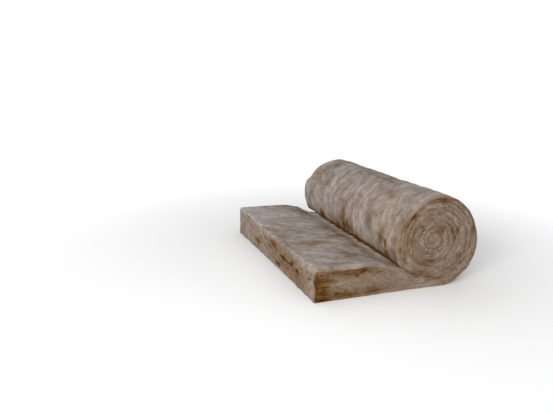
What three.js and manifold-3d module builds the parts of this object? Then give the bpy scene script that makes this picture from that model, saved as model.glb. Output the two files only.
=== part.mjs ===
// Insulation roll: one mat of glass wool, wound up on itself, with the outermost length laid out flat.
//
// Millimetres, +Z up. X runs along the mat, from its free end (-X) to the wound roll (+X), Y across its
// width. The origin is on the floor, in the middle of the object's length and width.
//
// The mat is one piece. Where it is free it stands at its full loft. It thins where the roll's weight
// lies on it, passes under the roll and is wound up from there, each turn pressed thin by the next. Where
// the roll comes down on the lying mat a narrow nip runs under it across the whole width, and from its
// closed tip the seam between the turns winds inwards, open on both ends as a groove with soft shoulders.

import * as THREE from "three";
import { mergeVertices } from "three/addons/utils/BufferGeometryUtils.js";
import Module from "manifold-3d";

// ---- Driving dimensions ----

const MAT_WIDTH = 600; // across the mat, and so the length of the roll
const MAT_LOFT = 80; // thickness of the mat where nothing presses on it
const FREE_END_TO_AXIS = 342; // along the floor, from the free end to under the roll's axis

const ROLL_RADIUS = 130; // of the winding where the mat comes into it
const TURN_THICKNESS = 17; // of one wound turn
const EYE_RADIUS = 5; // hollow in the middle, left by the first fold of the mat
const EYE_TO_SIDE = 13; // how far the winding's centre lies from the roll's axis, towards the free end
const EYE_TO_TOP = 8; // the same, upwards
const ROLL_SAG = 7.5; // how far the roll's axis has come down under its own weight
const ROLL_OVAL = 2.3; // by which its longest radius is over its mean one
const OVAL_LEAN = 48; // degrees from straight down to that longest radius, towards +X
const ROLL_LOBES = 2.9; // by which it bulges at its top and low on both sides
const LOBES_LEAN = 64; // degrees from straight down to the first of these three bulges, towards +X
const ROLL_TAPER = 0.09; // share by which the far end of the roll stands less high over the lying mat

const NIP_DROP = 14; // how far under the loft the nip opens, where the roll comes down on the lying mat
const NIP_GAP = 2; // between roll and lying mat where the nip opens
const NIP_TIP_GAP = 1.2; // the same at the closed tip under the axis
const SHOULDER_LENGTH = 110; // over which the lying mat rounds down from its full loft to the nip
const SHOULDER_BEND = 50; // from the nip back to where the two ends of that rounding would meet

const PRESSED_IN = 19.5; // how deep the roll is pressed in by the mat it lies on
const PRESSED_OVER = 0.11; // turns from the nip's opening to where it is pressed in that deep
const PRESSED_TO = 0.33; // turns past straight down to where it is round again

const CORNER_RADIUS = 9; // of the free end's upper and lower edges
const EDGE_ROUNDING = 5; // of the two cut sides of the mat

const SEAM_DEPTH = 10; // of the groove between turns, measured in from the end
const SEAM_MOUTH = 7; // width of the groove at the end face
const SEAM_SHOULDER_DEPTH = 2.5; // depth to which the turns' edges are rounded off
const SEAM_WAIST = 3; // width of the groove below the rounded edges

const STEPS_PER_TURN = 45;
const EDGE_STEPS = 2;
const CUTTER_OVERLAP = 2; // by which the seam cutter stands out of the end face

// ---- The winding ----

const FULL_TURN = 2 * Math.PI;
const RIGHT = 0.25; // of the first turn, in turns
const LEFT = 0.75;
const BOTTOM = 1;
const axisHeight = ROLL_RADIUS - ROLL_SAG;
const wholeTurns = ROLL_RADIUS / TURN_THICKNESS; // until the winding would close on its centre
const windingTurns = (ROLL_RADIUS - EYE_RADIUS) / TURN_THICKNESS;

// How far the winding stands out of its mean radius at an angle: one wave makes it oval, one lobed.
function bulge(angle) {
  const fromLongest = angle - THREE.MathUtils.degToRad(OVAL_LEAN);
  const fromLobe = angle - THREE.MathUtils.degToRad(LOBES_LEAN);
  return ROLL_OVAL * Math.cos(2 * fromLongest) + ROLL_LOBES * Math.cos(3 * fromLobe);
}

// Radius of the seam after so many turns, counted inwards from the bottom of the outermost turn, were
// the roll lying on nothing. What each turn has of its uneven shape shrinks with it.
function looseRadius(turns) {
  return (1 - turns / wholeTurns) * (ROLL_RADIUS + bulge(FULL_TURN * turns));
}

// The place between two others, in turns, at which something that falls from one to the other is nil.
function crossing(over, under, excess) {
  for (let halvings = 0; halvings < 30; halvings++) {
    const middle = (over + under) / 2;
    if (excess(middle) > 0) over = middle;
    else under = middle;
  }
  return under;
}

// Where the nip opens, in turns: on the first way down, at its drop under the loft of the lying mat.
const nipOpens = crossing(LEFT, BOTTOM, (turns) => {
  const height = axisHeight - looseRadius(turns) * Math.cos(FULL_TURN * turns);
  return height - (MAT_LOFT - NIP_DROP);
});

// Radius of the seam in the roll that lies on its mat. All its turns are pressed in beside their bottoms,
// at once where the outermost comes down on the mat, and easing out on the other side.
function windingRadius(turns) {
  const past = turns - Math.max(BOTTOM, Math.round(turns));
  const onto = THREE.MathUtils.clamp((past - (nipOpens - BOTTOM)) / PRESSED_OVER, 0, 1);
  const pressed = Math.pow(onto, 0.6) * (1 - THREE.MathUtils.smoothstep(past, 0, PRESSED_TO));
  return looseRadius(turns) - (1 - turns / wholeTurns) * PRESSED_IN * pressed;
}

// A point on the winding: x from the free end, y its height. It climbs at +X, comes over the top and goes
// down at -X, round a centre that drifts over to the eye as the turns go inwards. A positive gap lies
// outside it.
function windingPoint(turns, gap = 0) {
  const angle = FULL_TURN * turns;
  const radius = windingRadius(turns) + gap;
  const inwards = Math.max(0, (turns - BOTTOM) / (wholeTurns - BOTTOM));
  return new THREE.Vector2(
    FREE_END_TO_AXIS - EYE_TO_SIDE * inwards + radius * Math.sin(angle),
    axisHeight + EYE_TO_TOP * inwards - radius * Math.cos(angle),
  );
}

// ---- The outline, seen along the roll's axis ----

// Where the skin of the outermost turn lifts off the floor, in turns.
const liftsOff = crossing(RIGHT, 0, (turns) => windingPoint(turns).y);

// Points along the winding between two places, the first included and the last not.
function stretch(from, to, gapAt = () => 0) {
  const steps = Math.ceil(Math.abs(to - from) * STEPS_PER_TURN);
  const points = [];
  for (let i = 0; i < steps; i++) {
    const turns = from + ((to - from) * i) / steps;
    points.push(windingPoint(turns, gapAt(turns)));
  }
  return points;
}

// Between roll and lying mat the gap closes steadily from the nip's mouth to its tip.
function nipGap(turns) {
  return THREE.MathUtils.mapLinear(turns, nipOpens, BOTTOM, NIP_GAP, NIP_TIP_GAP);
}

// Up and over the roll, into the nip and out again on the lying mat, then back along its top and down
// the free end.
function matOutline() {
  const mouth = windingPoint(nipOpens, NIP_GAP);
  const roll = [...stretch(liftsOff, nipOpens), ...stretch(nipOpens, BOTTOM)];
  const nip = [windingPoint(BOTTOM), ...stretch(BOTTOM, nipOpens, nipGap), mouth];

  const outline = new THREE.Shape();
  outline.moveTo(CORNER_RADIUS, 0);
  for (const point of [...roll, ...nip]) outline.lineTo(point.x, point.y);
  outline.quadraticCurveTo(mouth.x - SHOULDER_BEND, MAT_LOFT, mouth.x - SHOULDER_LENGTH, MAT_LOFT);
  outline.lineTo(CORNER_RADIUS, MAT_LOFT);
  outline.absarc(CORNER_RADIUS, MAT_LOFT - CORNER_RADIUS, CORNER_RADIUS, Math.PI / 2, Math.PI);
  outline.lineTo(0, CORNER_RADIUS);
  outline.absarc(CORNER_RADIUS, CORNER_RADIUS, CORNER_RADIUS, Math.PI, Math.PI * 1.5);
  return outline;
}

// ---- Solids ----

const wasm = await Module();
wasm.setup();

function toSolid(geometry) {
  const bare = geometry.clone();
  bare.deleteAttribute("normal");
  bare.deleteAttribute("uv");
  const merged = mergeVertices(bare, 1e-3);
  const mesh = new wasm.Mesh({
    numProp: 3,
    vertProperties: merged.attributes.position.array,
    triVerts: merged.index.array,
  });
  return new wasm.Manifold(mesh);
}

function toGeometry(solid) {
  const mesh = solid.getMesh();
  const geometry = new THREE.BufferGeometry();
  geometry.setAttribute("position", new THREE.BufferAttribute(mesh.vertProperties, 3));
  geometry.setIndex(new THREE.BufferAttribute(mesh.triVerts, 1));
  return geometry.toNonIndexed();
}

// The whole mat in profile, drawn out over its width, with both cut sides rounded off.
// The profile lies in the plane of X and Z, and the middle of the width is at Y = 0.
function matBlank() {
  const blank = new THREE.ExtrudeGeometry(matOutline(), {
    depth: MAT_WIDTH - 2 * EDGE_ROUNDING,
    curveSegments: 8,
    bevelThickness: EDGE_ROUNDING,
    bevelSize: EDGE_ROUNDING,
    bevelOffset: -EDGE_ROUNDING,
    bevelSegments: EDGE_STEPS,
  });
  blank.translate(0, 0, -(MAT_WIDTH - 2 * EDGE_ROUNDING) / 2);
  blank.rotateX(Math.PI / 2);
  return blank;
}

// The line of the seam on one end face, from just inside the nip's tip to the eye.
class SeamLine extends THREE.Curve {
  constructor(side) {
    super();
    this.side = side;
  }
  getPoint(t) {
    const { x, y } = windingPoint(BOTTOM + (windingTurns - BOTTOM) * t, NIP_TIP_GAP / 2);
    return new THREE.Vector3(x, (this.side * MAT_WIDTH) / 2, y);
  }
}

// Cutter for the groove between the turns on one end. Its section points into the wool: a narrow slit
// that opens, between rounded edges, to the mouth. The section's first coordinate runs towards -Y.
function seamCutter(side) {
  const flank = [
    [SEAM_SHOULDER_DEPTH, SEAM_WAIST / 2],
    [0, SEAM_MOUTH / 2],
    [-CUTTER_OVERLAP, SEAM_MOUTH / 2],
  ];
  const section = [[SEAM_DEPTH, 0], ...flank, ...flank.map(([depth, half]) => [depth, -half]).reverse()];
  const corners = section.map(([depth, half]) => new THREE.Vector2(side * depth, half));
  return new THREE.ExtrudeGeometry(new THREE.Shape(corners), {
    steps: Math.ceil((windingTurns - BOTTOM) * STEPS_PER_TURN),
    extrudePath: new SeamLine(side),
  });
}

// Above the lying mat, the roll comes down steadily from its near end to its far end.
function taper(geometry) {
  const places = geometry.attributes.position;
  for (let i = 0; i < places.count; i++) {
    const towardsFarEnd = 0.5 + places.getY(i) / MAT_WIDTH;
    const over = Math.max(0, places.getZ(i) - MAT_LOFT);
    places.setZ(i, places.getZ(i) - ROLL_TAPER * towardsFarEnd * over);
  }
  geometry.computeVertexNormals();
  return geometry;
}

function woundMat() {
  let mat = toSolid(matBlank());
  for (const side of [-1, 1]) mat = mat.subtract(toSolid(seamCutter(side)));
  return taper(toGeometry(mat));
}

// ---- The object ----

const glassWool = new THREE.MeshStandardMaterial({
  color: new THREE.Color(0.27, 0.22, 0.18),
  roughness: 0.95,
  metalness: 0,
});

const woolMat = new THREE.Mesh(woundMat(), glassWool);
woolMat.name = "wool_mat";

const extent = new THREE.Box3().setFromObject(woolMat);
woolMat.position.x = -(extent.min.x + extent.max.x) / 2;

const insulationRoll = new THREE.Group();
insulationRoll.add(woolMat);

export default insulationRoll;
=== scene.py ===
"""A mat of brown glass wool, wound up on itself, with its outermost length laid out flat.

Metres, +Z up, in the frame's own axes: X along the mat from its free end, Y across it, the floor at
Z = 0. The near end of the roll is the one at low Y.

The mat is worked out as a strip. Column 0 is its free end, the columns run along the mat and on round
the winding, and the rows run through its thickness, from the face on the floor to the face on top. Each
turn's last row is the first row of the turn inside it, so both ends of the roll are one sheet, and the
seam between the turns is a groove in it. The skin is a second grid, carried round the strip's outline
and across the mat.

A layer of noise is written as its height times drift(places, its size along each axis, its seed).
"""

import math

import bpy
import numpy as np
from mathutils import Matrix, Vector


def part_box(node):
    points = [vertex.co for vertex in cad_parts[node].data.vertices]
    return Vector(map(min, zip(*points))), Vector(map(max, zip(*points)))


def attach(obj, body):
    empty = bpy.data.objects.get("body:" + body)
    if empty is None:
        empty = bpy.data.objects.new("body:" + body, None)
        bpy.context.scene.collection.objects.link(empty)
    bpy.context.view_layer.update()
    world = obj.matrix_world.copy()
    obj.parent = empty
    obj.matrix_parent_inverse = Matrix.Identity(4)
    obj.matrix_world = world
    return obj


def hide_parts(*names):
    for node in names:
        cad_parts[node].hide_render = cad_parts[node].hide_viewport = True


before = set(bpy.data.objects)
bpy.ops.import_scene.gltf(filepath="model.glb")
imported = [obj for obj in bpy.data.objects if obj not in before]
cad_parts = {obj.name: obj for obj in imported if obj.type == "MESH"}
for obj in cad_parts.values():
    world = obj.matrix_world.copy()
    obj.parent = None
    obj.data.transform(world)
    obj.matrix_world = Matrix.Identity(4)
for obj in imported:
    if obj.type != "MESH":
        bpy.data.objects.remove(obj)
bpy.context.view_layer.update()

low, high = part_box("wool_mat")

# ---- The mat and its winding ----

WIDTH = high.y - low.y
LOFT = 0.08  # thickness of the mat where nothing presses on it
AXIS_X = low.x + 0.342  # under the roll's axis
AXIS = np.array([AXIS_X, 0.1225])
UPPER_CORNER, LOWER_CORNER = 0.009, 0.004  # radii of the free end's edges
EDGE_RADIUS = 0.008  # of the mat's cut sides

ROLL_RADIUS = 0.13
WOUND_LOFT = 0.017  # thickness of the mat where it is wound
TURNS = ROLL_RADIUS / WOUND_LOFT  # until the winding closes on its centre
OVAL, OVAL_LEAN = 0.0023, math.radians(48)  # by which it bulges to two sides
LOBES, LOBES_LEAN = 0.0029, math.radians(64)  # and at its top and low on both sides
PRESSED = 0.0195  # by which its own weight flattens it where it lies on the mat
PRESSED_FROM, PRESSED_FLAT, PRESSED_TO = -0.17, -0.06, 0.33  # turns, counted from straight down
EYE_SHIFT = np.array([-0.013, 0.008])  # of the winding's centre from the axis

SHOULDER_START = low.x + 0.13
SHOULDER_BEND = low.x + 0.19
MOUTH = 1 + PRESSED_FROM  # the turn where the nip opens between the roll and the mat under it
MOUTH_GAP = 0.0005  # closes towards the axis

FAR_END_LOWER, FAR_END_WIDER = 0.082, 0.01  # shares by which the roll has settled at its far end
CORNERS_LOFTIER = 0.08  # share by which the free end's corners have puffed up
MOUTH_LIFT = 0.007  # by which the mouth is higher over its middle
FAR_MOUTH_LIFT = 0.005  # by which the roll's far edge stands up off the mat
FAR_MOUTH_DROP, NEAR_MOUTH_DROP = 0.014, 0.001  # by which the mat's edges fall away from the roll

PIT_DEPTH = 0.005
CUT_INSET = 0.0015  # how far the cut sides stand back, as a mean
SEAM_SHALLOWEST, SEAM_DEEPEST = 0.0018, 0.007  # depths of the groove along the seam
TIP_SHARE = 0.3  # of the seam's deepest, where the nip closes
EYE_DEPTH = 0.008
CLEARANCE = 0.0003  # under what doesn't rest on the floor

# ---- Steps of the grids ----

LYING_STEPS = 72  # columns from the free end to under the roll's axis
TURN_STEPS = 160  # columns in each turn
WOUND_STEPS = 1040  # columns in the winding
THROUGH_STEPS = 20
WIDTH_STEPS = 160
EDGE_TURNS = np.radians([30, 60, 90])  # rows that round the edge over to the cut side

FULL_TURN = 2 * math.pi


def ramp(value, start, end):
    """0 before start, 1 after end, and 3t^2 - 2t^3 of the way between."""
    t = np.clip((value - start) / (end - start), 0, 1)
    return t * t * (3 - 2 * t)


def unit(vectors):
    return vectors / np.maximum(np.linalg.norm(vectors, axis=-1, keepdims=True), 1e-12)


# ---- Noise ----

LATTICE = 64
slopes = unit(np.random.default_rng(11).normal(size=(LATTICE, LATTICE, LATTICE, 3)))


def drift(points, size, seed=0):
    """Gradient noise from about -1 to 1, with hills as far apart as size says along each axis.

    Each corner of a lattice has a random slope. The eight slopes round a point are blended with
    6t^5 - 15t^4 + 10t^3 of the way between the corners.
    """
    points = points / np.asarray(size) + seed * np.array([5.37, 11.71, 17.93])
    cell = np.floor(points).astype(np.int64)
    part = points - cell
    ease = part**3 * (part * (part * 6 - 15) + 10)
    total = np.zeros(points.shape[:-1])
    for corner in np.ndindex(2, 2, 2):
        x, y, z = np.moveaxis((cell + corner) % LATTICE, -1, 0)
        share = np.prod(np.where(corner, ease, 1 - ease), axis=-1)
        total += share * np.sum((part - corner) * slopes[x, y, z], axis=-1)
    return total * 1.7


def tufts(points, size, seed=0):
    """Rounded lumps with sharp creases between them: twice the size of the drift, less about its mean."""
    return 2 * np.abs(drift(points, size, seed)) - 0.6


def line(values, size, seed=0):
    """The drift along one line of values."""
    return drift(np.stack([values, 0 * values, 0 * values], -1), size, seed)


# ---- The winding, seen from the near end ----


def winding_radius(turns):
    """The seam's radius, counted inwards from the bottom of the outermost turn.

    It shrinks evenly to nothing over all the turns. The second and third waves of its angle make it
    oval and lobed, and past half a turn each bottom is pressed in: sharply where the roll comes down
    on the mat, as the 0.6th power of the way, and easing out on the other side.
    """
    left = np.clip(1 - turns / TURNS, 0, 1)
    angle = FULL_TURN * turns
    waves = OVAL * np.cos(2 * (angle - OVAL_LEAN)) + LOBES * np.cos(3 * (angle - LOBES_LEAN))
    past = turns - np.maximum(np.round(turns), 1)
    onto = np.clip((past - PRESSED_FROM) / (PRESSED_FLAT - PRESSED_FROM), 0, 1) ** 0.6
    return left * (ROLL_RADIUS + waves - PRESSED * onto * (1 - ramp(past, 0, PRESSED_TO)))


def bearing(turns):
    """X and height of a unit arm that turns from straight down towards +X, once a turn."""
    return np.stack([np.sin(FULL_TURN * turns), -np.cos(FULL_TURN * turns)], -1)


def winding_place(turns, gap=0.0):
    """X and height of the seam, or of what lies a gap outside it. Its centre drifts over as the turns go
    inwards."""
    radius = winding_radius(turns) + gap
    inwards = np.clip((turns - 1) / (TURNS - 1), 0, 1)[..., None]
    centre = AXIS + inwards * EYE_SHIFT
    return centre + radius[..., None] * bearing(turns)


def skin_place(turns):
    """The outermost turn, which the floor presses flat."""
    place = winding_place(turns)
    place[..., 1] = np.maximum(0, place[..., 1])
    return place


def lying_top():
    """The lying mat's upper face as points in the order of X: its full loft, then a quadratic Bezier
    curve down the shoulder, then along under the roll with a gap that closes towards the axis."""
    turns = np.linspace(MOUTH, 1, 80)
    floor = winding_place(turns, MOUTH_GAP * ramp(turns, 1 + PRESSED_FROM * 0.4, MOUTH))
    starts, bend = np.array([SHOULDER_START, LOFT]), np.array([SHOULDER_BEND, LOFT])
    t = np.linspace(0, 1, 30)[:-1, None]
    shoulder = (1 - t) ** 2 * starts + 2 * t * (1 - t) * bend + t**2 * floor[0]
    return np.concatenate([[[low.x, LOFT]], shoulder, floor])


turns = np.arange(WOUND_STEPS + TURN_STEPS + 1) / TURN_STEPS  # of each point along the seam
lying_x = low.x + (AXIS_X - low.x) * np.arange(LYING_STEPS) / LYING_STEPS

outer = np.concatenate([np.stack([lying_x, 0 * lying_x], -1), skin_place(turns[: TURN_STEPS + 1])])
inner = np.stack([lying_x, np.interp(lying_x, *lying_top().T)], -1)


def rounded(places):
    """Draws in the two corners of the free end: a square ring round a corner's centre becomes a circle,
    by scaling each point's distance from the centre down to the larger of its two sides."""
    for radius, height in ((LOWER_CORNER, LOWER_CORNER), (UPPER_CORNER, LOFT - UPPER_CORNER)):
        centre = np.array([low.x + radius, height])
        away = places - centre
        beyond = (away[..., 0] < 0) & (away[..., 1] * (height - LOFT / 2) > 0)
        scale = np.abs(away).max(-1) / np.maximum(np.linalg.norm(away, axis=-1), 1e-9)
        places = np.where(beyond[..., None], centre + away * scale[..., None], places)
    return places


# The outline runs along the floor, up and over the roll, into the nip, back along the top and down the
# free end. Each of its points is a column and a row of the strip.
free_end_rows = np.arange(THROUGH_STEPS - 1, 0, -1)
free_end = np.stack([np.full(len(free_end_rows), low.x), LOFT * free_end_rows / THROUGH_STEPS], -1)
outline = rounded(np.concatenate([outer, inner[::-1], free_end]))
SKIN_COLUMNS = len(outer)
column_of = np.concatenate([np.arange(SKIN_COLUMNS), np.arange(LYING_STEPS)[::-1], 0 * free_end_rows])
row_of = np.concatenate(
    [np.zeros(SKIN_COLUMNS, int), np.full(LYING_STEPS, THROUGH_STEPS), free_end_rows]
)
tip = SKIN_COLUMNS - 1  # the outline's point at the closed tip of the nip

outline_step = unit(np.roll(outline, -1, 0) - np.roll(outline, 1, 0))
outwards = np.stack([outline_step[:, 1], -outline_step[:, 0]], -1)
outwards[tip] = 0

seam = winding_place(turns)
middle = (outer[:LYING_STEPS] + inner) / 2
middle = np.concatenate([middle, (seam[:-TURN_STEPS] + seam[TURN_STEPS:]) / 2])
steps = np.linalg.norm(np.diff(middle, axis=0), axis=-1)
along = np.concatenate([[0], np.cumsum(steps)])  # length of mat from its free end to each column

# What the outline's points are like, as arrays of one column.
point = np.arange(len(outline))[:, None]
outline_x, outline_z = outline[:, :1], outline[:, 1:]
outline_along = along[column_of][:, None]
outline_turns = np.clip((point - LYING_STEPS) / TURN_STEPS, 0, 1)
on_roll = point <= tip  # this also holds the face on the floor
on_top = (row_of == THROUGH_STEPS)[:, None]
on_end = ~on_roll & ~on_top
wound_skin = on_roll & (point > LYING_STEPS)
lying_skin = ~on_roll | (point < LYING_STEPS)


def by_nip(turn_from, turn_to, reach_from, reach_to):
    """Rises to 1 by the nip: on the roll between two turns, counted from the mouth, and on top of the
    mat between two reaches, counted back from the axis."""
    above = ramp(outline_turns, MOUTH + turn_from, MOUTH + turn_to)
    below = ramp(outline_x, AXIS_X - reach_from, AXIS_X - reach_to)
    return np.where(on_roll, above, on_top * below)


in_nip = by_nip(-0.024, 0.016, 0.12, 0.103)
beside_nip = by_nip(-0.12, -0.02, 0.152, 0.11)
near_tip = ramp(np.abs(point - tip), 22, 2)

# ---- Brown and pale patches ----
# Each is a place, its reach both ways and its strength. Places are turns and Y on the roll, X from the
# free end and Y on top, height and Y on the free end, X and height on the cut side, and both from the
# axis on the end of the roll.

ROLL_PATCHES = [
    (0.77, -0.232, 0.034, 0.011, 1.1), (0.805, -0.235, 0.028, 0.02, 1.25),
    # The second below, at 0.76 and -0.285, is painted shade as well as brown: it darkens the near rim, which
    # the lamp lights most.
    (0.74, -0.215, 0.06, 0.026, 0.85), (0.76, -0.285, 0.11, 0.034, 0.52),
    (0.75, 0.003, 0.08, 0.015, 0.95), (0.82, -0.04, 0.04, 0.28, 0.75),
    (0.785, -0.01, 0.042, 0.045, 1.0), (0.81, 0.16, 0.03, 0.03, 1.1),
    (0.65, -0.19, 0.1, 0.11, 0.24), (0.46, -0.3, 0.07, 0.011, 0.7),
    (0.525, -0.015, 0.012, 0.03, 0.6), (0.53, -0.105, 0.009, 0.022, 0.7),
    (0.7, 0.32, 0.4, 0.11, 0.3), (0.815, -0.15, 0.03, 0.05, 0.7),
    (0.59, -0.18, 0.03, 0.03, 0.5),
]
# Pale patches are painted light: the first is a painted highlight along the top of the roll.
ROLL_PALE_PATCHES = [
    (0.455, -0.17, 0.065, 0.11, 0.6), (0.675, -0.095, 0.035, 0.02, 0.4),
]
TOP_PATCHES = [
    (0.234, -0.04, 0.036, 0.25, 1.4), (0.125, -0.21, 0.02, 0.04, 0.4),
    (0.1, -0.09, 0.045, 0.02, 0.45), (0.05, 0.03, 0.03, 0.018, 0.4),
    (0.1, 0.13, 0.03, 0.02, 0.4), (0.19, 0.2, 0.03, 0.06, 0.4),
]
# Pale patches are painted light: the second lifts the shade beside the nip's near mouth.
TOP_PALE_PATCHES = [
    (0.05, 0.2, 0.09, 0.1, 0.6), (0.235, -0.265, 0.03, 0.03, 0.5),
]
END_PATCHES = [
    (0.035, -0.1, 0.055, 0.17, 0.5), (0.076, 0.205, 0.004, 0.022, 1.1),
    (0.029, 0.12, 0.008, 0.03, 1.0), (0.045, -0.09, 0.005, 0.028, 1.7),
    (0.046, -0.146, 0.005, 0.012, 1.7), (0.041, -0.19, 0.005, 0.014, 1.7),
    (0.016, -0.05, 0.006, 0.025, 1.3), (0.062, -0.01, 0.014, 0.035, 0.9),
    (0.05, -0.3, 0.02, 0.008, 1.2),
]
SIDE_PATCHES = [
    (0.018, 0.062, 0.032, 0.012, 1.05), (0.012, 0.032, 0.034, 0.04, 1.2),
    (0.032, 0.053, 0.024, 0.005, 1.6), (0.026, 0.038, 0.018, 0.004, 1.6),
    (0.028, 0.027, 0.01, 0.003, 1.5), (0.02, 0.006, 0.024, 0.004, 1.6),
    (0.1, 0.069, 0.1, 0.013, 0.8), (0.115, 0.058, 0.008, 0.004, 1.25),
    (0.172, 0.062, 0.012, 0.0045, 1.25), (0.1, 0.012, 0.125, 0.014, 0.65),
    (0.075, 0.018, 0.03, 0.003, 1.1), (0.165, 0.014, 0.035, 0.003, 0.7),
]
FACE_PATCHES = [
    (-0.086, 0.078, 0.022, 0.014, 1.1), (-0.097, 0.058, 0.012, 0.014, 1.0),
    (-0.07, 0.05, 0.024, 0.016, 0.5), (0.008, 0.033, 0.022, 0.014, 0.6),
    (0.058, 0.025, 0.007, 0.013, 0.85), (0.108, 0.03, 0.007, 0.022, 0.9),
    (0.005, 0.114, 0.058, 0.011, 0.8), (0.06, 0.085, 0.05, 0.01, 0.4),
    (-0.02, -0.052, 0.026, 0.012, 0.45), (-0.06, -0.082, 0.034, 0.014, 0.9),
    (0.01, -0.1, 0.04, 0.007, 0.6), (0.073, -0.044, 0.014, 0.012, 0.6),
    (-0.112, -0.02, 0.009, 0.036, 0.65), (-0.08, 0.005, 0.022, 0.035, 0.5),
    (-0.068, 0.1, 0.024, 0.012, 0.65), (-0.028, 0.062, 0.014, 0.014, 0.5),
    (-0.11, 0.012, 0.009, 0.022, 0.6), (-0.104, -0.042, 0.011, 0.018, 0.6),
]

# Where each point of the outline lies on its own face, and far from every patch on the others.
ELSEWHERE = 99
turns_on_roll = np.where(on_roll, outline_turns, ELSEWHERE)
length_on_top = np.where(on_top, outline_x - low.x, ELSEWHERE)
height_on_end = np.where(on_end, outline_z, ELSEWHERE)


def patches(first, second, places):
    """The strongest patch at each point: each falls off as e to the minus square of its distance."""
    level = np.zeros(np.broadcast(first, second).shape)
    for at_first, at_second, reach_first, reach_second, strength in places:
        away = ((first - at_first) / reach_first) ** 2 + ((second - at_second) / reach_second) ** 2
        level = np.maximum(level, strength * np.exp(-away))
    return level


# ---- The skin ----

FACES_APART = 3  # keeps the noise of the mat's two faces apart
TOP_SLANT, ROLL_SLANT = 0.5, 0.12  # of the streaks across the mat

# Each row's share of the half width, and the angle by which the edge rows are turned over.
flat_rows = np.linspace(-1, 1, WIDTH_STEPS + 1)
row_share = np.concatenate([-np.ones(len(EDGE_TURNS)), flat_rows, np.ones(len(EDGE_TURNS))])
row_turned = np.concatenate([-EDGE_TURNS[::-1], 0 * flat_rows, EDGE_TURNS])


def ragged(end):
    """How far the cut side stands back, all round the outline: a wandering knife, and further in at the
    tip of the nip."""
    knife = 0.001 * line(outline_along, 0.06, 3 + end) + 0.0005 * line(outline_along, 0.014, 5 + end)
    return CUT_INSET + knife * (1 - near_tip) + near_tip * SEAM_DEEPEST * TIP_SHARE


def grain_of_skin(y):
    """How the fibres lie on the skin: length of mat, place across the streaks, and which face. Streaks
    swing by a slow drift and two quicker ones, and cross the mat at a slant, most of all on its top."""
    x = np.broadcast_to(outline_along, y.shape)
    face = np.broadcast_to((row_of / THROUGH_STEPS)[:, None], y.shape)
    flat = np.stack([x, y, face * FACES_APART], -1)
    slant = np.where(on_top, TOP_SLANT, ROLL_SLANT)
    swing = 0.034 * drift(flat, (0.19, 0.15, 1), 1) + 0.017 * drift(flat, (0.075, 0.085, 1), 2)
    swing += 0.005 * drift(flat, (0.03, 0.035, 1), 3)
    return np.stack([x, y + slant * x + swing, face], -1)


def skin_relief(grain, y):
    """How far the skin stands out: slow swells, tufts drawn out along the streaks, the streaks, and
    creases between them. It is lower on the lying top, and nearly flat in the nip."""
    flat = np.stack([grain[..., 0], y, grain[..., 2] * FACES_APART], -1)
    swells = 0.002 * drift(flat, (0.17, 0.14, 1), 21)
    lumps = 0.0014 * tufts(grain, (0.06, 0.026, 1), 22) + 0.0007 * tufts(grain, (0.032, 0.013, 1), 23)
    lumps *= np.where(on_top, 0.75, 1)
    streaks = 0.0005 * drift(grain, (0.035, 0.0085, 1), 24)
    creases = 0.001 * np.where(on_top, 0.7, 0.5) * ramp(drift(grain, (0.045, 0.011, 1), 26), 0.25, 0.75)
    free = (1 - np.maximum(0.85 * in_nip, near_tip)) * np.where(on_end, ramp(outline_z, 0.0, 0.045), 1)
    return (swells + lumps + streaks - creases) * free


def skin_pits(y):
    """Torn hollows half way up the free end, from 0 to 1: large ones near, small ones all over, and its
    darkest patches."""
    z = np.broadcast_to(outline_z, y.shape)

    def torn(depth, sizes, seed, start, end, height, reach):
        """Where a drift is past start, falling off as e to the minus square of the way from a height."""
        hollows = depth * ramp(drift(np.stack([y + 0.4 * z, z, 0 * z], -1), (*sizes, 1), seed), start, end)
        return hollows * np.exp(-(((z - height) / reach) ** 2))

    large = torn(1.0, (0.026, 0.012), 25, 0.25, 0.7, 0.04, 0.02) * ramp(y, 0.15, 0.0)
    small = torn(0.55, (0.013, 0.009), 27, 0.2, 0.65, 0.045, 0.026)
    darkest = ramp(patches(z, y, END_PATCHES), 0.95, 1.5)
    deepest = np.maximum(np.maximum(large, small), darkest)
    return on_end * deepest * ramp(np.abs(y), 0.29, 0.27)


def skin_stain(y):
    """The brown patches of each face. Those of the near cut side come over the rounded edge, and so does
    some brown of the nip, which also reaches a little way in."""
    on_face = np.maximum(patches(turns_on_roll, y, ROLL_PATCHES), patches(length_on_top, y, TOP_PATCHES))
    on_face = np.maximum(on_face, patches(height_on_end, y, END_PATCHES))
    over_edge = lying_skin * patches(outline_x - low.x, outline_z, SIDE_PATCHES)
    over_edge = np.maximum(over_edge, 0.45 * in_nip) * np.maximum(-np.sin(row_turned), 0)
    rim = ramp(WIDTH / 2 - np.abs(y), 0.03, 0.006) * in_nip
    return np.maximum(on_face, np.maximum(over_edge, 0.45 * rim))


def settled(place):
    """The roll lower and wider towards its far end, and the free end's corners loftier, by shares of
    their height and of their way from the axis."""
    x, y, z = np.moveaxis(place, -1, 0)
    puffed = CORNERS_LOFTIER * (ramp(y, 0.05, 0.28) + ramp(y, -0.05, -0.28))
    z = z * (1 + puffed * ramp(x, low.x + 0.215, low.x + 0.145))
    far = np.clip(0.5 + y / WIDTH, 0, 1)
    rolled = ramp(x, AXIS_X - 0.115, AXIS_X - 0.095) * ramp(z, 0.03, 0.08)
    lower = z * (1 - FAR_END_LOWER * far * rolled)
    wider = AXIS_X + (x - AXIS_X) * (1 + FAR_END_WIDER * far * ramp(z, 0.07, 0.1))
    return np.stack([wider, y, lower], -1)


def edge_radius():
    """Of the rounding over to the cut sides, all round the outline: less in the nip and most of all at
    its tip, next to the floor, and at the free end."""
    off_floor = 0.3 + 0.7 * ramp(outline_z, 0.0, 0.03)
    off_end = 0.5 + 0.5 * ramp(outline_x, low.x, low.x + 0.04)
    return EDGE_RADIUS * (1 - 0.8 * near_tip) * (1 - 0.5 * in_nip) * off_floor * off_end


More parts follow.
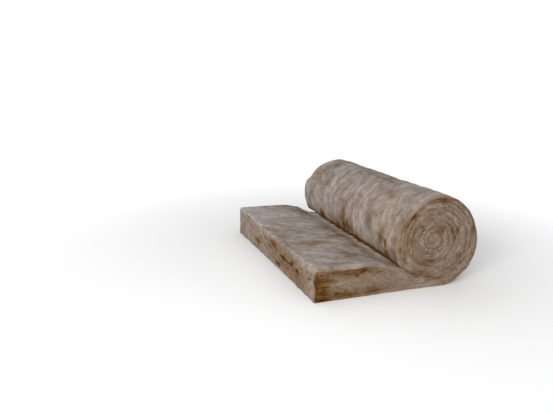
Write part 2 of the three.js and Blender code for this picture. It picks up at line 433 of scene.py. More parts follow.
def moved_at_mouth(height, y):
    """The skin's heights with the nip's mouth moved. Mat and roll waver there together and are higher
    over the middle. The mat's edges fall away from the roll, and the roll's far edge stands up."""
    waver = 0.003 * line(y, 0.07, 61) + 0.0016 * line(y, 0.022, 62)
    mouth = in_nip * ramp(outline_x, AXIS_X - 0.04, AXIS_X - 0.075)
    height = height + (waver + MOUTH_LIFT * ramp(np.abs(y), 0.295, 0.2)) * mouth
    past_axis = outline_x - AXIS_X
    drop = FAR_MOUTH_DROP * ramp(past_axis, -0.147, -0.102) * ramp(y, 0.205, 0.29)
    drop += NEAR_MOUTH_DROP * ramp(past_axis, -0.195, -0.115) * ramp(y, -0.24, -0.292)
    height = height - drop * on_top * ramp(past_axis, -0.08, -0.108)
    over_mouth = ramp(np.abs(outline_turns - MOUTH), 0.08, 0.02) * on_roll
    return height + FAR_MOUTH_LIFT * over_mouth * ramp(y, 0.2, 0.29)


def skin_painted_light_and_shade(y, relief, pits):
    """Painted shade and light on the skin: painted shade over 0 in the nip, the pits and the creases and on
    the roll's rims, and painted light under 0 beside the nip and in the pale patches."""
    from_side = WIDTH / 2 - np.abs(y)
    in_mouth = 0.15 + 0.85 * ramp(from_side, 0.004, 0.03)
    in_mouth = np.minimum(in_mouth, 0.25 + 0.75 * ramp(y + WIDTH / 2, 0.035, 0.125))
    # painted shade deep in the nip's mouth, which the material turns to painted light past 0.9
    deep = 0.9 + ramp(from_side, 0.012, 0.06) * (0.7 + 0.7 * line(y, 0.04, 64))
    # painted shade in the creases of the relief, and in the pits
    creased = ramp(-relief, 0.0008, 0.0038) * 0.45
    hollow = np.maximum(np.maximum(deep * in_nip * in_mouth, 0.7 * pits), creased)
    # painted light beside the nip, which lifts the shade that falls there, least near the cut sides
    paler = np.where(on_roll, 0.15, 2.1) * beside_nip * (1 - in_nip)
    hollow -= paler * ramp(from_side, 0.015, 0.11)
    hollow -= patches(turns_on_roll, y, ROLL_PALE_PATCHES) + patches(length_on_top, y, TOP_PALE_PATCHES)
    # painted shade on the roll's rounded rims, which the lamp lights most
    return hollow + 0.18 * wound_skin * np.sin(row_turned) ** 2


def skin_grid():
    """The skin's places, and by name what its material reads. Each row follows the outline, moved out by
    the relief, in by the pits, and over to the cut sides by a quarter circle. The turned edge looks half
    cut, and so does the free end."""
    half = WIDTH / 2 - np.where(row_share < 0, ragged(0), ragged(1))
    radius = edge_radius()
    y = row_share * (half - radius) + radius * np.sin(row_turned)
    inset = radius * (1 - np.cos(row_turned))
    grain = grain_of_skin(y)
    relief, pits = skin_relief(grain, y), skin_pits(y)
    place = outline[:, None] + outwards[:, None] * (relief - PIT_DEPTH * pits - inset)[..., None]
    lowest = np.where((outline_z < 0.001) & on_roll, 0, CLEARANCE)
    height = np.maximum(moved_at_mouth(place[..., 1], y), lowest)
    torn = np.where(on_end, ramp(outline_z, LOFT - 0.004, LOFT - 0.02) * 0.62, 0)
    fields = {
        "grain": grain,
        "cut": np.maximum(torn, 0.5 * np.sin(row_turned) ** 2),
        "hollow": skin_painted_light_and_shade(y, relief, pits),
        "stain": skin_stain(y),
    }
    return settled(np.stack([place[..., 0], y, height], -1)), fields


# ---- The cut sides and the ends of the roll ----

column = np.arange(len(along))[:, None]
column_turns = (column - LYING_STEPS) / TURN_STEPS


def through_shares():
    """How far through the mat each row lies, for each column: evenly spaced, mixed with the cosine of
    evenly spaced angles, which crowds them towards both faces, most of all in the winding."""
    even = np.linspace(0, 1, THROUGH_STEPS + 1)
    crowded = (1 - np.cos(math.pi * even)) / 2
    mix = 0.25 + 0.6 * ramp(column, LYING_STEPS - 30, LYING_STEPS)
    return even * (1 - mix) + crowded * mix


def open_seam(end):
    """How far the seam gapes along its length, from 0 to 1: in stretches, at the nip, and at its top."""
    gape = 0.11 + 0.38 * line(turns, 0.16, 35 + end) + 0.26 * line(turns, 0.045, 37 + end)
    nip = 0.18 * ramp(turns, 1.35, 1.08)
    top = 0.22 * np.exp(-(((turns - 1.5) / 0.12) ** 2))
    return np.maximum(np.clip(gape, 0.02, 0.34), np.maximum(nip, top))


def faces_at_side(edge, end):
    """The strip's lower and upper face at a cut side: X, height and how far they stand back, for each
    column. They follow the skin's edge and then the seam, one turn apart, which wanders a little."""
    wander = ramp(turns, 1.0, 1.25) * ramp(turns, TURNS, TURNS - 2.5)
    out = 0.003 * line(turns, 0.11, 31 + end) + 0.0016 * line(turns, 0.035, 33 + end)
    out = wander * (out + 0.0008 * line(turns, 0.017, 39 + end))
    around = seam + out[:, None] * bearing(turns)
    side = np.full(len(turns), WIDTH / 2 if end else -WIDTH / 2)
    place = settled(np.stack([around[:, 0], side, around[:, 1]], -1))
    depth = SEAM_SHALLOWEST + (SEAM_DEEPEST - SEAM_SHALLOWEST) * open_seam(end)
    seam_line = np.stack([place[:, 0], place[:, 2], depth], -1)
    border = np.stack([edge[:, 0], edge[:, 2], WIDTH / 2 - np.abs(edge[:, 1])], -1)
    seam_line[: TURN_STEPS + 1] = border[LYING_STEPS:SKIN_COLUMNS]
    lower = np.concatenate([border[:LYING_STEPS], seam_line[:-TURN_STEPS]])
    top = border[SKIN_COLUMNS : SKIN_COLUMNS + LYING_STEPS][::-1]
    return lower, np.concatenate([top, seam_line[TURN_STEPS:]])


def over_to_seam(distance, depth):
    """1 at a face, falling as what is left of the way to the 2.5th. The way is longer where the face
    stands back more than 3 mm."""
    reach = 0.0028 + 0.2 * np.clip(depth - 0.003, 0, 1)
    return np.clip(1 - distance / reach, 0, 1) ** 2.5


def side_stain(plane, grain, from_low, from_high, wound, end):
    """The brown of a cut side: patches, random ones on the far side. On both sides it also runs along
    the seams in stretches, and here and there along a layer between them, and it lines the nip."""
    beside = plane - AXIS
    on_side = patches(plane[..., 0] - low.x, plane[..., 1], SIDE_PATCHES) * (1 - wound)
    on_face = patches(beside[..., 0], beside[..., 1], FACE_PATCHES) * wound
    chance = ramp(drift(grain, (0.075, 1, 0.022), 59 + end), 0.25, 0.75) * 0.8
    placed = chance if end else np.maximum(on_side, on_face)
    by_seam = np.exp(-((np.minimum(from_low, from_high) / 0.0055) ** 2))
    runs = ramp(drift(grain, (0.055, 1, 0.03), 55 + end), -0.25, 0.55) * by_seam
    runs = np.maximum(runs, 0.7 * ramp(drift(grain, (0.035, 1, 0.0045), 57 + end), 0.35, 0.75)) * wound
    over = ramp(column_turns, 0.78, 0.84) * ramp(column_turns, 1.2, 1.05)
    over = over * np.exp(-((from_low / 0.0045) ** 2))
    under = ramp(column_turns, 0.2, 0.05) * np.exp(-((from_high / 0.0065) ** 2))
    under = under * ramp(plane[..., 0], AXIS_X - 0.125, AXIS_X - 0.095)
    return np.maximum(placed, np.maximum(runs * 0.52, 0.32 * np.maximum(over, under)))


def cut_grid(skin, end):
    """One cut side of the strip, at the skin's first or last row for an end of 0 near or 1 far: its
    places, and by name what its material reads. It stands out by its relief, and at its faces it stands
    back as far as they do."""
    edge = skin[:, -end]
    side = WIDTH / 2 if end else -WIDTH / 2
    lower, upper = faces_at_side(edge, end)
    share = through_shares()
    plane = lower[:, None, :2] + (upper - lower)[:, None, :2] * share[..., None]
    thick = np.maximum(np.linalg.norm((upper - lower)[:, :2], axis=-1), 1e-4)[:, None]
    from_low, from_high = share * thick, (1 - share) * thick

    grain = np.stack([np.broadcast_to(along[:, None], share.shape), np.full(share.shape, side), from_low], -1)
    swing = 0.0036 * drift(grain, (0.07, 1, 0.03), 41 + end)
    swing += 0.002 * drift(grain, (0.024, 1, 0.012), 43 + end)
    grain[..., 2] += swing
    layers = 0.0009 * tufts(grain, (0.045, 1, 0.008), 45 + end)
    layers += 0.0007 * tufts(grain, (0.018, 1, 0.005), 47 + end)
    uneven = 0.0022 * drift(grain, (0.13, 1, 0.09), 49 + end)
    pit = ramp(drift(grain, (0.024, 1, 0.01), 51 + end), 0.45, 0.85)
    dished = -0.003 * ramp(column_turns, 3.5, 6)
    level = layers + uneven - 0.004 * pit + dished - 0.001

    at_low, at_high = over_to_seam(from_low, lower[:, 2:]), over_to_seam(from_high, upper[:, 2:])
    back = -level * (1 - at_low) * (1 - at_high) + lower[:, 2:] * at_low + upper[:, 2:] * at_high
    place = np.stack([plane[..., 0], np.sign(side) * (WIDTH / 2 - back), plane[..., 1]], -1)
    place[0, 1:-1] = edge[SKIN_COLUMNS + LYING_STEPS :][::-1]

    wound = ramp(column, LYING_STEPS - 20, LYING_STEPS - 5)
    from_face = np.where(column_turns < 0, np.minimum(from_low, from_high), from_low)
    return place, {
        "grain": grain,
        "cut": 0.8 - 0.22 * wound + 0.2 * ramp(from_face, 0.001, 0.006),
        # painted shade where the cut side stands back, in its seams and its dish, and in its pits
        "hollow": np.maximum(ramp(back + dished, 0.0022, 0.006) * 0.42, pit * 0.5),
        "stain": side_stain(plane, grain, from_low, from_high, wound, end),
    }


# ---- Meshes ----


def fan(rim, hub):
    """Triangles from each step round a ring of indices to its hub."""
    return np.stack([rim, np.roll(rim, -1), np.full(len(rim), hub)], -1)


def put_in(name, data):
    made = bpy.data.objects.new(name, data)
    bpy.context.scene.collection.objects.link(made)
    return made


def new_mesh(name, points, quads, triangles):
    """A smooth mesh of whole arrays: points, then four or three indices for each face."""
    sizes = np.concatenate([np.full(len(quads), 4), np.full(len(triangles), 3)])
    corners = np.concatenate([np.ravel(quads), np.ravel(triangles)])
    mesh = bpy.data.meshes.new(name)
    mesh.vertices.add(len(points))
    mesh.vertices.foreach_set("co", np.ravel(points).astype(np.float32))
    mesh.loops.add(len(corners))
    mesh.loops.foreach_set("vertex_index", corners.astype(np.int32))
    mesh.polygons.add(len(sizes))
    mesh.polygons.foreach_set("loop_start", (np.cumsum(sizes) - sizes).astype(np.int32))
    mesh.update(calc_edges=True)
    mesh.shade_smooth()
    return put_in(name, mesh)


def note(piece, name, values, domain="CORNER"):
    """Keeps an attribute of the piece's own for its material to read, one number or a vector each."""
    kind, field = ("FLOAT", "value") if values.ndim == 1 else ("FLOAT_VECTOR", "vector")
    layer = piece.data.attributes.new(name, kind, domain)
    layer.data.foreach_set(field, np.ravel(values).astype(np.float32))


def lay_flat(piece, uv):
    """The piece's own UV map, one place for each corner of its faces."""
    piece.data.uv_layers.new(name="OFBake").data.foreach_set("uv", np.ravel(uv).astype(np.float32))


def cells(grid):
    """The four corners of each cell of a grid of indices or values, first along its second axis."""
    parts = (grid[:-1, :-1], grid[:-1, 1:], grid[1:, 1:], grid[1:, :-1])
    return np.stack(parts, 2).reshape(-1, 4, *grid.shape[2:])


def closed(grid):
    """A grid round the outline, with its first column repeated at the end."""
    return np.concatenate([grid, grid[:1]])


SHEET_SKIN_TOP = 0.6  # share of the UV map's height that the skin takes
SHEET_CUT_SIDES = ((0.005, 0.62), (0.505, 0.62))  # where both cut sides start on it
EYE_ROW = 5  # the row whose values the eye takes over


def wool_body(skin, skin_fields, sides):
    """The mat as one closed mesh. The skin closes round the outline. Each cut side takes its outer points
    from the skin's edge, and the last row of each turn from the first row of the next one in."""
    count, rows = skin.shape[:2]
    ring = np.arange(count * rows).reshape(count, rows)
    points, quads, triangles = [skin.reshape(-1, 3)], [cells(closed(ring))], []
    sheet_axes = np.linspace(0, 1, count + 1), np.linspace(0, SHEET_SKIN_TOP, rows)
    values = {name: [cells(closed(field))] for name, field in skin_fields.items()}
    values["sheet"] = [cells(np.stack(np.meshgrid(*sheet_axes, indexing="ij"), -1))]
    eye = {name: [] for name in values}

    used = count * rows
    for end, (place, fields) in enumerate(sides):
        index = np.full(place.shape[:2], -1)
        index[column_of, row_of] = ring[:, -end]
        own = index < 0
        own[LYING_STEPS : len(index) - TURN_STEPS, -1] = False
        index[own] = used + np.arange(own.sum())
        inward = np.arange(LYING_STEPS, len(index) - TURN_STEPS)
        index[inward, -1] = index[inward + TURN_STEPS, 0]
        points.append(place[own])
        used += own.sum()

        # What the innermost turn leaves open closes in a shallow eye.
        rim = np.concatenate([index[-1, :-1], index[: -TURN_STEPS - 1 : -1, -1]])
        bottom = WIDTH / 2 - EYE_DEPTH
        points.append([[middle[-1, 0], bottom if end else -bottom, middle[-1, 1]]])
        order = slice(None) if end else slice(None, None, -1)
        triangles.append(fan(rim, used)[:, order])
        quads.append(cells(index)[:, order])
        used += 1

        flat = np.array(SHEET_CUT_SIDES[end]) + place[..., [0, 2]] - (low.x, 0)
        for name, field in {**fields, "sheet": flat}.items():
            values[name].append(cells(field)[:, order])
            eye[name].append(np.broadcast_to(field[-1, EYE_ROW], (len(rim) * 3, *field.shape[2:])))

    piece = new_mesh("wool_mat_body", *map(np.concatenate, (points, quads, triangles)))
    for name in values:
        whole = np.concatenate(values[name])
        whole = np.concatenate([whole.reshape(-1, *whole.shape[2:]), *eye[name]])
        lay_flat(piece, whole) if name == "sheet" else note(piece, name, whole)
    return piece


# ---- Wisps and fibres laid on the body ----

# What a strand reads where it lies, as layers of one grid: the place, the normal, the streaks' heading
# as a cosine and sine from the grid's first axis, the length of a step both ways, the tint, the
# brownness, and the odds that a strand starts there.
PLACE, NORMAL, HEADING, PACES = slice(0, 3), slice(3, 6), slice(6, 8), slice(8, 10)
TINT, BROWN, ODDS = 10, 11, 12
LOWEST_STRAND, SHORTEST_STEP = 0.009, 0.0005
FIBRE_LIFT = (-0.0003, 0.0006, 0.0007, 0.0002)  # over the surface at each ring
WISP_LIFT = (-0.0007, 0.0001, 0.0001, -0.0007)
TALLNESS = (0.4, 1.3)  # shares of the lift that single strands have
SHEET_STRAND = 0.006  # of the UV map, which holds each strand at its own tint and brownness


def normals(place, outward):
    """Unit normals of a grid, from the cross product of its steps both ways."""
    first, second = np.gradient(place, axis=0), np.gradient(place, axis=1)
    return unit(np.cross(first, second)) * outward


def field_of(place, grain_across, outward, tint, brown, weight):
    """A grid of those layers. Streaks run square to the slope of the grain, and the odds are the weight
    times a cell's area."""
    paces = [np.maximum(np.linalg.norm(np.gradient(place, axis=axis), axis=-1), 1e-4) for axis in (0, 1)]
    slope = [np.gradient(grain_across, axis=axis) / paces[axis] for axis in (0, 1)]
    steep = np.maximum(np.hypot(*slope), 1e-6)
    odds = weight * paces[0] * paces[1]
    layers = np.stack([slope[1] / steep, -slope[0] / steep, *paces, tint, brown, odds], -1)
    return np.concatenate([place, normals(place, outward), layers], -1)


def at(field, i, j):
    """The field between its grid points, blended evenly both ways."""
    i, j = np.clip(i, 0, field.shape[0] - 1.001), np.clip(j, 0, field.shape[1] - 1.001)
    i0, j0 = i.astype(int), j.astype(int)
    p, q = (i - i0)[:, None], (j - j0)[:, None]
    before = field[i0, j0] * (1 - p) + field[i0 + 1, j0] * p
    after = field[i0, j0 + 1] * (1 - p) + field[i0 + 1, j0 + 1] * p
    return before * (1 - q) + after * q


def walks(rng, field, amount, rings, length, stray, bend):
    """The field under each ring of some strands. Each walks along the streaks, strays from them by a
    steady angle and bends by a growing one."""
    odds = np.cumsum(field[..., ODDS].ravel())
    cell = np.searchsorted(odds, rng.random(amount) * odds[-1])
    i, j = (axis + rng.random(amount) - 0.5 for axis in np.unravel_index(cell, field.shape[:2]))
    turned = rng.normal(0, stray, amount) + math.pi * rng.integers(0, 2, amount)
    curl = rng.normal(0, bend, amount)
    step = rng.uniform(*length, amount) / (rings - 1)
    walked = []
    for ring in range(rings):
        here = at(field, i, j)
        walked.append(here)
        cosine, sine = here[:, HEADING].T
        first_pace, second_pace = here[:, PACES].T
        heading = np.arctan2(sine, cosine) + turned + curl * ring / rings
        i = i + np.cos(heading) * step / first_pace
        j = j + np.sin(heading) * step / second_pace
    return np.stack(walked, 1)


def strands(name, fields, count, seed, sides, flatness, length, width, lift, stray, bend):
    """Many thin strands in one mesh, each pointed at both ends.

    A strand's section has its corners on an ellipse whose height is flatness times its width, and its
    thickness follows a sine. None hangs down to the floor, or is squeezed short at its field's end.
    """
    rng = np.random.default_rng(seed)
    rings = len(lift)
    shares = [field[..., ODDS].sum() for field in fields]
    amounts = [int(round(count * share / sum(shares))) for share in shares]
    walk = np.concatenate(
        [walks(rng, field, amount, rings, length, stray, bend) for field, amount in zip(fields, amounts)]
    )
    steps = np.linalg.norm(np.diff(walk[..., PLACE], axis=1), axis=-1)
    walk = walk[(walk[:, :, 2].min(-1) > LOWEST_STRAND) & (steps.min(-1) > SHORTEST_STEP)]
    total = len(walk)

    normal = walk[..., NORMAL]
    heights = np.array(lift) * rng.uniform(*TALLNESS, (total, 1))
    spine = walk[..., PLACE] + normal * heights[..., None]
    tangent = unit(np.gradient(spine, axis=1))
    side = unit(np.cross(normal, tangent))
    up = np.cross(tangent, side)
    thick = rng.uniform(*width, (total, 1, 1, 1)) / 2
    corner = (FULL_TURN * (np.arange(sides) + 0.5) / sides)[:, None]
    taper = np.sin(math.pi * (np.arange(rings) + 0.6) / (rings + 0.2))[None, :, None, None]
    around = side[:, :, None] * np.cos(corner) + up[:, :, None] * np.sin(corner) * flatness
    loops = spine[:, :, None] + around * thick * taper
    reach = thick[:, 0, 0] * 2
    tips = np.stack([spine[:, 0] - tangent[:, 0] * reach, spine[:, -1] + tangent[:, -1] * reach], 1)
    points = np.concatenate([loops.reshape(total, -1, 3), tips], 1)

    grid = np.arange(rings * sides).reshape(rings, sides)
    grid = np.concatenate([grid, grid[:, :1]], 1)
    first, last = grid[0], grid[-1]
    hub = np.full(sides, rings * sides)
    ends = [np.stack([first[1:], first[:-1], hub], -1), np.stack([last[:-1], last[1:], hub + 1], -1)]
    each = (np.arange(total) * points.shape[1])[:, None, None]
    quads, ends = (cells(grid) + each).reshape(-1, 4), (np.concatenate(ends) + each).reshape(-1, 3)
    piece = new_mesh(name, points.reshape(-1, 3), quads, ends)

    tint = np.clip(walk[:, 1, TINT] + rng.normal(0, 0.035, total), 0.02, 0.98)
    brown = np.clip(walk[:, 1, BROWN] + rng.normal(0, 0.04, total), 0.02, 0.98)
    shape = points.shape[:2]
    tints, browns = (np.broadcast_to(value[:, None], shape).ravel() for value in (tint, brown))
    note(piece, "tint", tints, "POINT")
    note(piece, "brown", browns, "POINT")
    corners = np.concatenate([quads.ravel(), ends.ravel()])
    within = np.broadcast_to(np.arange(shape[1]), shape).ravel()
    spread = np.stack([within % sides / sides, within // sides / rings], -1) - 0.5
    lay_flat(piece, (np.stack([tints, browns], -1) + SHEET_STRAND * spread)[corners])
    return piece


def skin_field(skin, fields):
    """Where strands start on the skin: not next to the floor, in the nip or at the edges, and seldom on
    the free end."""
    y, grain, hollow, stain = skin[..., 1], fields["grain"], fields["hollow"], fields["stain"]
    flat = np.stack([grain[..., 0], y, grain[..., 2]], -1)
    mottle = 0.57 + 0.23 * drift(flat, (0.03, 0.026, 1), 71) + 0.16 * drift(flat, (0.08, 0.07, 1), 72)
    bare = ((outline_z < 0.01) & ~on_top) | (in_nip > 0.5) | (near_tip > 0)
    weight = np.where(bare, 0.0, np.where(on_end, 0.12, 1.0)) * (np.abs(y) < WIDTH / 2 - 0.016)
    # strands darken and brown with the painted shade, and pale with the painted light
    tint = mottle - 0.1 * stain - 0.25 * hollow
    plain = np.where(on_end, 0.12, 0.0)
    brown = plain + (1 - plain) * np.maximum(stain, 0.35 * hollow)
    return field_of(skin, grain[..., 1], -1, tint, brown, weight)


def cut_field(place, fields, end):
    """Where strands start on a cut side: not next to the floor, and seldom in seams or where it is brown."""
    grain, hollow, stain = fields["grain"], fields["hollow"], fields["stain"]
    mottle = 0.5 + 0.2 * drift(grain, (0.022, 1, 0.01), 73 + end)
    streak = 0.3 * drift(grain, (0.045, 1, 0.006), 75 + end)
    # strands darken and brown with the painted shade
    tint = mottle - 0.1 * stain - 0.25 * hollow + streak * stain
    brown = 0.45 + 0.55 * np.maximum(stain, 0.35 * hollow)
    weight = (1 - 0.8 * (hollow > 0.5)) * (place[..., 2] > 0.008) * (1 - np.clip(stain - 0.3, 0, 1))
    return field_of(place, grain[..., 2], 1 if end else -1, tint, brown, weight)


# ---- Materials ----


def tone(red, green, blue):
    """A colour in light, from numbers as a screen shows them: ((c + 0.055) / 1.055) to the power 2.4."""
    return (*(((c / 255 + 0.055) / 1.055) ** 2.4 for c in (red, green, blue)), 1)


class Shade:
    """A socket of a material's nodes that can be added, multiplied and so on."""

    def __init__(self, tree, socket):
        self.tree, self.socket = tree, socket

    def math(self, operation, *values):
        return node(self.tree, "Math", {"operation": operation}, values)

    def __add__(self, other):
        return self.math("ADD", self, other)

    def __sub__(self, other):
        return self.math("SUBTRACT", self, other)

    def __rsub__(self, other):
        return self.math("SUBTRACT", other, self)

    def __mul__(self, other):
        return self.math("MULTIPLY", self, other)

    __radd__, __rmul__ = __add__, __mul__

    def into(self, made, name):
        """Links it to a node's input."""
        self.tree.links.new(self.socket, made.inputs[name])


def node(tree, kind, settings, values, output=0):
    """Adds a shader node of this kind: its settings, then the values or links of its inputs, by place or
    by name. A list of places and tones sets a colour ramp."""
    made = tree.nodes.new("ShaderNode" + kind)
    for name, value in settings.items():
        if name == "stops":
            stops = made.color_ramp.elements
            while len(stops) < len(value):
                stops.new(0.5)
            for stop, (place, colour) in zip(stops, value):
                stop.position, stop.color = place, tone(*colour)
        else:
            setattr(made, name, value)
    for key, value in values.items() if isinstance(values, dict) else enumerate(values):
        if isinstance(value, Shade):
            value.into(made, key)
        else:
            made.inputs[key].default_value = value
    return Shade(tree, made.outputs[output])


def ready(tree, kind):
    """The node of a kind that the tree came with."""
    return next(made for made in tree.nodes if made.type == kind)


def attribute(tree, name, output="Fac"):
    return node(tree, "Attribute", {"attribute_name": name}, (), output)


def noise(tree, vector, sizes, detail, rough, output="Fac"):
    """Noise with hills as large as sizes says along each axis of the vector."""
    scale = tuple(1 / size for size in sizes)
    scaled = node(tree, "VectorMath", {"operation": "MULTIPLY"}, (vector, scale), "Vector")
    values = {"Vector": scaled, "Scale": 1.0, "Detail": detail, "Roughness": rough}
    return node(tree, "TexNoise", {}, values, output)


def mixed(tree, share, first, second):
    """A colour mix. Its colour sockets share their names with others, so they go by their place."""
    return node(tree, "Mix", {"data_type": "RGBA"}, {0: share, 6: first, 7: second}, 2)


def limited(tree, value, start, end):
    """How far the value has come from start to end, from 0 to 1."""
    return node(tree, "MapRange", {}, (value, start, end))


def new_material(name, roughness, specular):
    material = bpy.data.materials.new(name)
    material.use_nodes = True
    shader = ready(material.node_tree, "BSDF_PRINCIPLED")
    shader.inputs["Roughness"].default_value = roughness
    shader.inputs["Specular IOR Level"].default_value = specular
    return material, material.node_tree, shader


# Wool is matt, with next to nothing but scattered light.
WOOL_ROUGHNESS, WOOL_SPECULAR = 0.95, 0.05
BUMP_STRENGTH, BUMP_HEIGHT = 0.4, 0.005
SHADES = (0.00, 0.32, 0.55, 1.00)  # at which each kind of wool has its four tones
SKIN_TONES = (96, 72, 50), (124, 108, 96), (148, 137, 130), (182, 175, 170)
CUT_TONES = (84, 56, 27), (113, 92, 71), (137, 120, 104), (169, 157, 145)
STAINED_TONES = (42, 20, 3), (82, 51, 18), (106, 77, 43), (150, 129, 105)
# brown of the painted shade in creases, pits, seams and the nip
PAINTED_SHADE_TONE = tone(100, 70, 40)
# painted light: a pale brown deep in the nip, to make up for the little light that comes there
NIP_PAINTED_LIGHT_TONE = tone(200, 142, 94)  # deep in the nip, where little light comes
PLAIN_SHADE = 0.56


def wool_colour(tree, shade, brown):
    """The colour of wool at a shade from dark to pale. It is skin where brown is 0, a cut side at a half,
    and stained with binder at 1."""
    skin, section, stained = (
        node(tree, "ValToRGB", {"stops": list(zip(SHADES, tones))}, (shade,))
        for tones in (SKIN_TONES, CUT_TONES, STAINED_TONES)
    )
    return mixed(tree, brown * 2 - 1, mixed(tree, brown * 2, skin, section), stained)


def curled(tree, vector, place, size, reach):
    """The vector pushed about across the grain by a noise, so that lines along it curl."""
    swirl = noise(tree, place, (size, size, size), 2, 0.5, output="Color")
    push = (swirl, (0, reach, reach), vector)
    return node(tree, "VectorMath", {"operation": "MULTIPLY_ADD"}, push, "Vector")


def glass_wool():
    """The body. Its shade is a weighted sum of threads, streaks and waves that curl along the grain, and
    of blotches and clouds across it, less the stain and the painted shade. It is brown by half of how cut
    it is and by the stain over that, and more so where the shade is dark. The painted shade also mixes in
    a brown, and deep in the nip it gives way to a pale brown of painted light; under 0 it is painted light."""
    material, tree, shader = new_material("glass_wool", WOOL_ROUGHNESS, WOOL_SPECULAR)
    place = node(tree, "TexCoord", {}, (), "Object")
    grain = curled(tree, attribute(tree, "grain", "Vector"), place, 0.014, 0.011)
    hollow, cut = attribute(tree, "hollow"), attribute(tree, "cut")

    threads = noise(tree, grain, (0.024, 0.0032, 0.0024), 3, 0.6) - 0.5
    streaks = noise(tree, grain, (0.05, 0.013, 0.0065), 3, 0.5) - 0.5
    waves = noise(tree, grain, (0.11, 0.03, 0.016), 2, 0.5) - 0.5
    blotches = noise(tree, place, (0.018, 0.018, 0.018), 3, 0.52) - 0.5
    clouds = noise(tree, place, (0.065, 0.065, 0.065), 2, 0.5) - 0.5

    stain = attribute(tree, "stain") + limited(tree, clouds, 0.06, 0.24) * 0.3
    shade = threads * 0.12 + streaks * 0.36 + waves * 0.56 + blotches * 0.66 + clouds * 0.75
    shade = shade * (1 - cut * 0.4) + PLAIN_SHADE - cut * 0.04
    streaked = streaks * (0.35 + cut * 0.4)
    # painted shade darkens the shade, and below 0 it is painted light that pales it
    shade = shade - stain * (0.17 + streaked) - hollow * 0.45
    shade = shade - limited(tree, stain, 1.2, 1.8) * 0.25
    plain = cut * 0.5
    brown = plain + (1 - plain) * stain * (streaked * 2.5 + 0.9)
    brown = brown - (shade - PLAIN_SHADE) * (stain * 0.8 + 0.1)
    # painted shade: a brown mixed in where it lies; deep in the nip, painted light: a pale brown
    colour = mixed(tree, hollow * 0.65, wool_colour(tree, shade, brown), PAINTED_SHADE_TONE)
    mixed(tree, limited(tree, hollow, 0.9, 1.7), colour, NIP_PAINTED_LIGHT_TONE).into(shader, "Base Color")

    height = threads * 0.3 + streaks + blotches + 0.5
    bump = {"Strength": BUMP_STRENGTH, "Distance": BUMP_HEIGHT, "Height": height}
    node(tree, "Bump", {}, bump).into(shader, "Normal")
    return material


def wool_strands():
    """Wisps and fibres: each strand has one tint and is as brown as the wool it lies on."""
    material, tree, shader = new_material("wool_strands", WOOL_ROUGHNESS, WOOL_SPECULAR)
    wool_colour(tree, attribute(tree, "tint"), attribute(tree, "brown")).into(shader, "Base Color")
    return material


# ---- Floor, light and camera ----

AIM = Vector((low.x + 0.2268, low.y + 0.8581, 0))
DISTANCE = 2.3972
AZIMUTH, ELEVATION, TILT = math.radians(-21.02), math.radians(15.33), math.radians(1.12)
IMAGE_WIDTH = 553  # pixels
FOCAL_PIXELS = 636.3
SENSOR = 36  # mm


def camera():
    """Looks at AIM from an azimuth off -Y and an elevation, with its right-hand side tilted up."""
    out = math.cos(ELEVATION)
    back = Vector((math.sin(AZIMUTH) * out, -math.cos(AZIMUTH) * out, math.sin(ELEVATION)))
    level = Vector((math.cos(AZIMUTH), math.sin(AZIMUTH), 0))
    upright = back.cross(level)
    right = level * math.cos(TILT) + upright * math.sin(TILT)
    up = upright * math.cos(TILT) - level * math.sin(TILT)
    data = bpy.data.cameras.new("camera")
    data.sensor_width = SENSOR
    data.lens = FOCAL_PIXELS / IMAGE_WIDTH * SENSOR
    eye = bpy.context.scene.camera = put_in("camera", data)
    turned = Matrix((right, up, back)).transposed().to_4x4()
    eye.matrix_world = Matrix.Translation(AIM + back * DISTANCE) @ turned


def only_seen(tree):
    """1 for a ray that looks at the backdrop, straight or by a reflection, and 0 for light."""
    rays = ("Is Camera Ray", "Is Glossy Ray", "Is Transmission Ray")
    straight, mirrored, through = (node(tree, "LightPath", {}, (), ray) for ray in rays)
    return straight.math("MAXIMUM", straight.math("MAXIMUM", straight, mirrored), through)


FLOOR_RADIUS = 6.0
FLOOR_CORNERS = 96
FLOOR_LIT_RADIUS = 0.9
FLOOR_TONE = (0.93, 0.93, 0.93, 1)


def floor():
    """A pale disc. Round the mat it takes light and shadow, and further out it fades into the backdrop."""
    angle = np.linspace(0, FULL_TURN, FLOOR_CORNERS, endpoint=False)
    rim = np.stack([np.cos(angle), np.sin(angle), 0 * angle], -1) * FLOOR_RADIUS
    around = fan(np.arange(FLOOR_CORNERS), FLOOR_CORNERS)
    disc = new_mesh("floor", np.concatenate([rim, [[0, 0, 0]]]), np.zeros((0, 4), int), around)
    material, tree, shader = new_material("pale_floor", 1.0, 0.0)
    shader.inputs["Base Color"].default_value = FLOOR_TONE
    place = node(tree, "TexCoord", {}, (), "Object")
    away = node(tree, "VectorMath", {"operation": "LENGTH"}, (place,), "Value")
    fade = limited(tree, away, FLOOR_LIT_RADIUS * 0.5, FLOOR_LIT_RADIUS)
    white = node(tree, "Emission", {}, {"Strength": 1.0})
    lit = Shade(tree, shader.outputs[0])
    both = node(tree, "MixShader", {}, (fade * only_seen(tree), lit, white))
    both.into(ready(tree, "OUTPUT_MATERIAL"), "Surface")
    disc.data.materials.append(material)


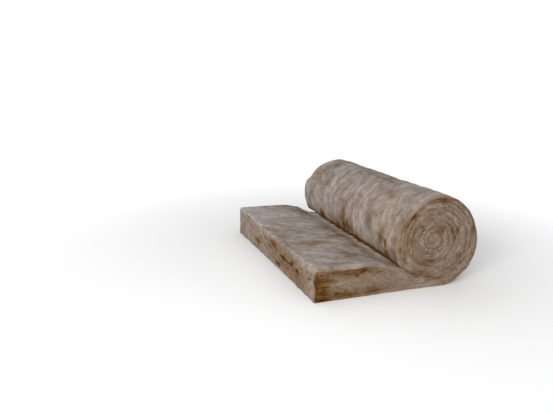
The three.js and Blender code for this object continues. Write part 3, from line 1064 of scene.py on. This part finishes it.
WHITE = (1, 1, 1, 1)
ROOM_STRENGTH = 0.73
LAMP_SIZE, LAMP_POWER = 1.3, 48
LAMP_PLACE, LAMP_AIM = Vector((-1.9, -1.75, 0.85)), Vector((0, 0, 0.1))


def light():
    """An even room, and one large soft lamp on the left."""
    world = bpy.data.worlds.new("room")
    bpy.context.scene.world = world
    world.use_nodes = True
    tree = world.node_tree
    room = node(tree, "Background", {}, {"Color": WHITE, "Strength": ROOM_STRENGTH})
    backdrop = node(tree, "Background", {}, {"Color": WHITE, "Strength": 1.0})
    both = node(tree, "MixShader", {}, (only_seen(tree), room, backdrop))
    both.into(ready(tree, "OUTPUT_WORLD"), "Surface")

    data = bpy.data.lights.new("softbox", "AREA")
    data.shape, data.size, data.energy = "DISK", LAMP_SIZE, LAMP_POWER
    lamp = put_in("softbox", data)
    lamp.location = LAMP_PLACE
    lamp.rotation_euler = (LAMP_AIM - LAMP_PLACE).to_track_quat("-Z", "Y").to_euler()


# ---- The object ----


def ride(piece, material):
    piece.data.materials.append(material)
    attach(piece, "root")


camera()
skin, skin_fields = skin_grid()
sides = [cut_grid(skin, end) for end in (0, 1)]
body = wool_body(skin, skin_fields, sides)
ride(body, glass_wool())
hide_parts("wool_mat")

on_skin = [skin_field(skin, skin_fields)]
on_cuts = [cut_field(*side, end) for end, side in enumerate(sides)]
STRANDS = (
    dict(name="skin_fibres", fields=on_skin, count=2400, seed=82, sides=3, flatness=1.0, lift=FIBRE_LIFT,
         length=(0.015, 0.04), width=(0.0003, 0.0006), stray=0.6, bend=2.0),
    dict(name="cut_wisps", fields=on_cuts, count=2400, seed=83, sides=4, flatness=0.16, lift=WISP_LIFT,
         length=(0.01, 0.028), width=(0.0016, 0.0042), stray=0.35, bend=1.8),
    dict(name="cut_fibres", fields=on_cuts, count=3000, seed=84, sides=3, flatness=1.0, lift=FIBRE_LIFT,
         length=(0.008, 0.022), width=(0.0004, 0.0007), stray=0.6, bend=2.4),
)
strand_material = wool_strands()
for settings in STRANDS:
    ride(strands(**settings), strand_material)

floor()
light()
bpy.context.scene.view_settings.view_transform = "Standard"
